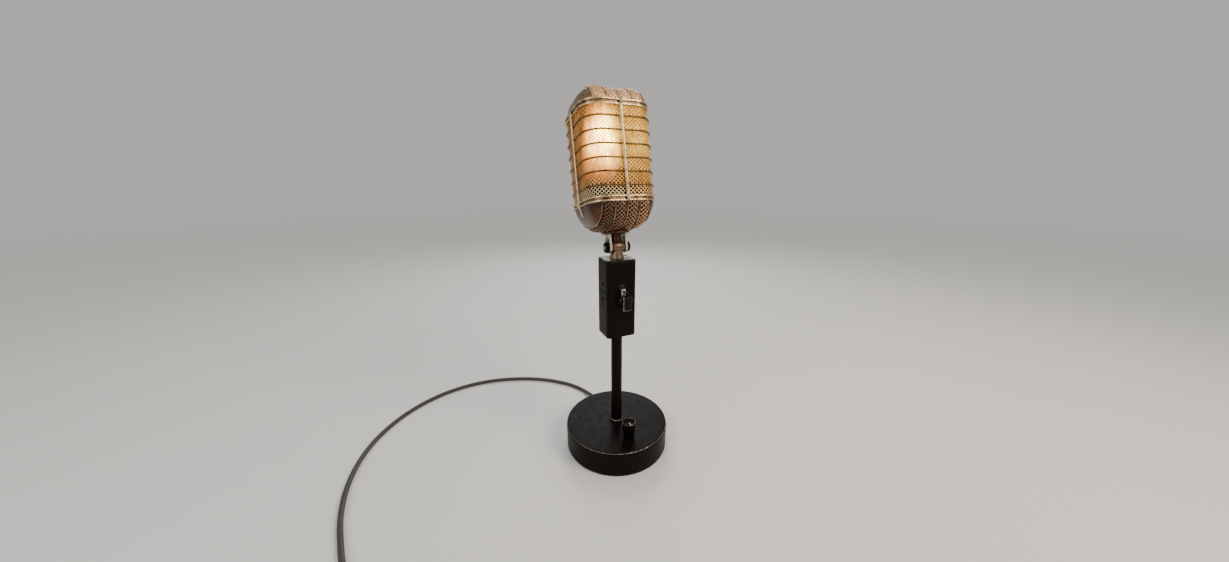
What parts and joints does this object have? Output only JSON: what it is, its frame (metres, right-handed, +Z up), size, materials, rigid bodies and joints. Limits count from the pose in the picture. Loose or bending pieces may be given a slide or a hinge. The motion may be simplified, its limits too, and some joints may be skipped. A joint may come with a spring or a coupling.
{
  "type": "ribbon microphone",
  "caption": "Caged ribbon microphone head with ribbed domes on a tilting fork, latched connector housing and round desk stand, wired as a lamp with a dimmer knob and mains cord.",
  "frame": {"origin": "centre of the felt underside of the base, on the surface that it stands on", "axes": "+Z up along the pole, -Y the front with the knob and the latch, +X to the right seen from the front"},
  "size_m": [0.4412, 0.4586, 0.5018],
  "materials": {
    "felt": "dense brown-black wool felt",
    "black_paint": "satin black enamel, worn bright along edges",
    "worn_black": "black enamel rubbed grey",
    "zinc_steel": "dull zinc plate",
    "cast_iron": "rough cast",
    "cream_plastic": "moulded",
    "cord_rubber": "dull dark grey flexible jacket",
    "brass": "turned",
    "braid": "cotton braided lead",
    "phenolic": "brown phenolic moulding",
    "nickel": "old nickel plate, warm and slightly dull",
    "spring_steel": "oiled spring wire",
    "bronze": "brown bronzed lacquer over brass",
    "knob_bakelite": "black phenolic, semi gloss",
    "pointer_ivory": "ivory filler",
    "fibre": "red-brown vulcanised fibre",
    "gold_mesh": "perforated sheet, gold lacquered",
    "olive_nickel": "grey-olive worn nickel",
    "magnet_steel": "ground dark magnet steel",
    "soft_iron": "ground soft iron",
    "foil": "thin corrugated foil",
    "core_iron": "laminated core, varnished",
    "porcelain": "glazed white",
    "bulb_glass": "clear warm glass",
    "hot_wire": "glowing wires on a glass stem"
  },
  "bodies": {
    "stand": {"base_felt": "felt", "base_shell": "black_paint", "base_cover": "zinc_steel", "base_screws": "zinc_steel", "ballast_weight": "cast_iron", "pole_tube": "black_paint", "pole_collar": "black_paint", "pole_nuts": "zinc_steel", "dimmer_body": "zinc_steel", "terminal_block": "cream_plastic", "strain_relief": "cord_rubber", "mains_cord": "cord_rubber", "cord_coil": "cord_rubber", "mains_plug": "cord_rubber", "plug_pins": "brass", "pole_lead": "braid", "jack_shell": "black_paint", "jack_insert": "phenolic", "plug_shell": "black_paint", "plug_top_plate": "worn_black", "plug_insert": "phenolic", "contact_pins": "brass", "shell_screws": "zinc_steel", "latch_bracket": "nickel", "latch_keeper": "nickel", "latch_spring": "spring_steel", "latch_pin": "nickel", "neck_post": "bronze"},
    "head": {"pivot_bolt": "zinc_steel", "friction_washers": "fibre", "fork_straps": "nickel", "fork_boss": "bronze", "bottom_cheeks": "bronze", "bottom_mesh": "gold_mesh", "bottom_ribs": "nickel", "lower_rims": "nickel", "cage_mesh": "gold_mesh", "cage_hoops": "nickel", "cage_rods": "nickel", "rod_screws": "nickel", "upper_rims": "nickel", "top_cheeks": "olive_nickel", "top_mesh": "gold_mesh", "top_ribs": "nickel", "chassis": "zinc_steel", "magnet": "magnet_steel", "pole_pieces": "soft_iron", "ribbon": "foil", "ribbon_clamps": "brass", "transformer": "core_iron", "lamp_holder": "porcelain", "bulb_glass": "bulb_glass", "filament": "hot_wire"},
    "nut_left": {"tilt_nut_left": "knob_bakelite"},
    "nut_right": {"tilt_nut_right": "knob_bakelite"},
    "knob": {"dimmer_shaft": "zinc_steel", "dimmer_knob": "knob_bakelite", "knob_pointer": "pointer_ivory"},
    "latch": {"latch_lever": "worn_black", "latch_hook": "nickel"}
  },
  "joints": [
    {"name": "head_tilt", "type": "hinge", "parent": "stand", "child": "head", "pos_m": [0, 0, 0.3046], "axis": [1, 0, 0], "range_deg": [-47.5, 72.5]},
    {"name": "left_nut_turn", "type": "hinge", "parent": "head", "child": "nut_left", "pos_m": [0, 0, 0.3046], "axis": [1, 0, 0], "range_deg": [0, 180]},
    {"name": "right_nut_turn", "type": "hinge", "parent": "head", "child": "nut_right", "pos_m": [0, 0, 0.3046], "axis": [1, 0, 0], "range_deg": [-180, 0]},
    {"name": "dimmer_turn", "type": "hinge", "parent": "stand", "child": "knob", "pos_m": [0, -0.043, 0.037], "axis": [0, 0, 1], "range_deg": [-150, 150]},
    {"name": "latch_press", "type": "hinge", "parent": "stand", "child": "latch", "pos_m": [0.002, -0.0235, 0.237], "axis": [1, 0, 0], "range_deg": [0, 12], "stiffness_Nm_per_rad": 0.28, "springref_deg": -8.59}
  ]
}
